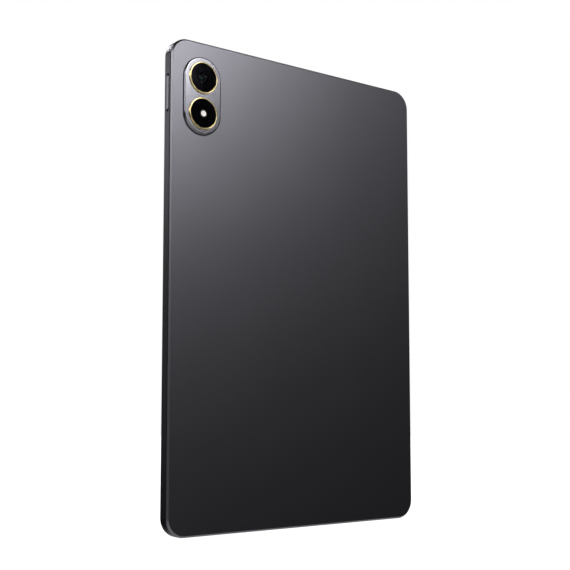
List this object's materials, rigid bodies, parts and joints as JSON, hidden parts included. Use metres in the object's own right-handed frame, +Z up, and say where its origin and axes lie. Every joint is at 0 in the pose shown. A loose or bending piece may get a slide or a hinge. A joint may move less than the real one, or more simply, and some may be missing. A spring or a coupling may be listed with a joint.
{
  "type": "tablet computer",
  "caption": "Slim flat tablet computer with a metal back, a raised oval camera island with two ringed round windows, side keys, card tray and a glass front.",
  "frame": {"origin": "centre of the whole tablet's box, on the plane of its bottom short edge", "axes": "+Z up along the long side, from the port edge to the camera edge; the back faces -Y and the screen faces +Y; the camera island is towards -X and +Z"},
  "size_m": [0.1821, 0.0098, 0.2801],
  "materials": {
    "anodised_aluminium": "bead-blasted and anodised dark grey",
    "satin_aluminium": "fine satin anodised dark grey",
    "gold_ring": "turned and polished, pale gold anodised",
    "black_glass": "polished, black printed on the inside",
    "screen_glass": "polished, black printed border",
    "black_plastic": "fine matt moulded",
    "white_diffuser": "milky moulded diffuser",
    "yellow_phosphor": "phosphor-coated",
    "steel": "pressed sheet",
    "copper": "rolled sheet",
    "board_green": "solder-masked glass epoxy board",
    "flex_amber": "polyimide film",
    "battery_pouch": "laminated foil pouch",
    "panel_grey": "laminated display panel",
    "reflector_white": "light guide in a pressed tray",
    "chip_black": "moulded",
    "mesh_black": "fine woven dust mesh"
  },
  "bodies": {
    "chassis": {"antenna_bottom": "black_plastic", "antenna_top": "black_plastic", "backlight_unit": "reflector_white", "battery_board": "board_green", "battery_cell_left": "battery_pouch", "battery_cell_right": "battery_pouch", "bottom_microphone": "steel", "camera_island": "satin_aluminium", "camera_lens_cover": "black_glass", "camera_ring": "gold_ring", "card_reader": "steel", "cover_glass": "screen_glass", "display_flex": "flex_amber", "dust_mesh_bottom_left": "mesh_black", "dust_mesh_bottom_right": "mesh_black", "dust_mesh_top": "mesh_black", "flash_board": "board_green", "flash_led": "yellow_phosphor", "flash_lens_cover": "black_glass", "flash_light_guide": "white_diffuser", "flash_ring": "gold_ring", "front_bezel": "black_plastic", "front_camera": "chip_black", "heat_spreader": "copper", "key_flex": "flex_amber", "lcd_panel": "panel_grey", "light_sensor": "chip_black", "link_flex": "flex_amber", "main_board": "board_green", "mid_plate": "steel", "plate_screw_1": "steel", "plate_screw_2": "steel", "plate_screw_3": "steel", "plate_screw_4": "steel", "plate_screw_5": "steel", "plate_screw_6": "steel", "power_key_bracket": "steel", "power_shield": "steel", "power_switch": "steel", "processor_chip": "chip_black", "processor_shield": "steel", "rear_camera_body": "chip_black", "rear_camera_flex": "flex_amber", "rear_camera_sensor": "board_green", "rear_housing": "anodised_aluminium", "side_microphone": "steel", "speaker_bottom_left": "black_plastic", "speaker_bottom_right": "black_plastic", "speaker_top_left": "black_plastic", "speaker_top_right": "black_plastic", "usb_board": "board_green", "usb_shell": "steel", "usb_tongue": "chip_black", "volume_down_switch": "steel", "volume_key_bracket": "steel", "volume_up_switch": "steel"},
    "volume_key": {"volume_key": "satin_aluminium"},
    "power_key": {"power_key": "satin_aluminium"},
    "card_tray": {"card_tray": "satin_aluminium"},
    "lens_barrel": {"lens_barrel": "chip_black"}
  },
  "joints": [
    {"name": "volume_key_rock", "type": "hinge", "parent": "chassis", "child": "volume_key", "pos_m": [-0.0875, 0.0013, 0.2475], "axis": [0, 1, 0], "range_deg": [-1.7, 1.7], "stiffness_Nm_per_rad": 0.25},
    {"name": "power_key_press", "type": "slide", "parent": "chassis", "child": "power_key", "axis": [0, 0, -1], "range_m": [0, 0.0003], "stiffness_N_per_m": 1500},
    {"name": "card_tray_slide", "type": "slide", "parent": "chassis", "child": "card_tray", "axis": [1, 0, 0], "range_m": [0, 0.024]},
    {"name": "lens_focus", "type": "slide", "parent": "chassis", "child": "lens_barrel", "axis": [0, -1, 0], "range_m": [0, 0.0003], "stiffness_N_per_m": 300}
  ]
}
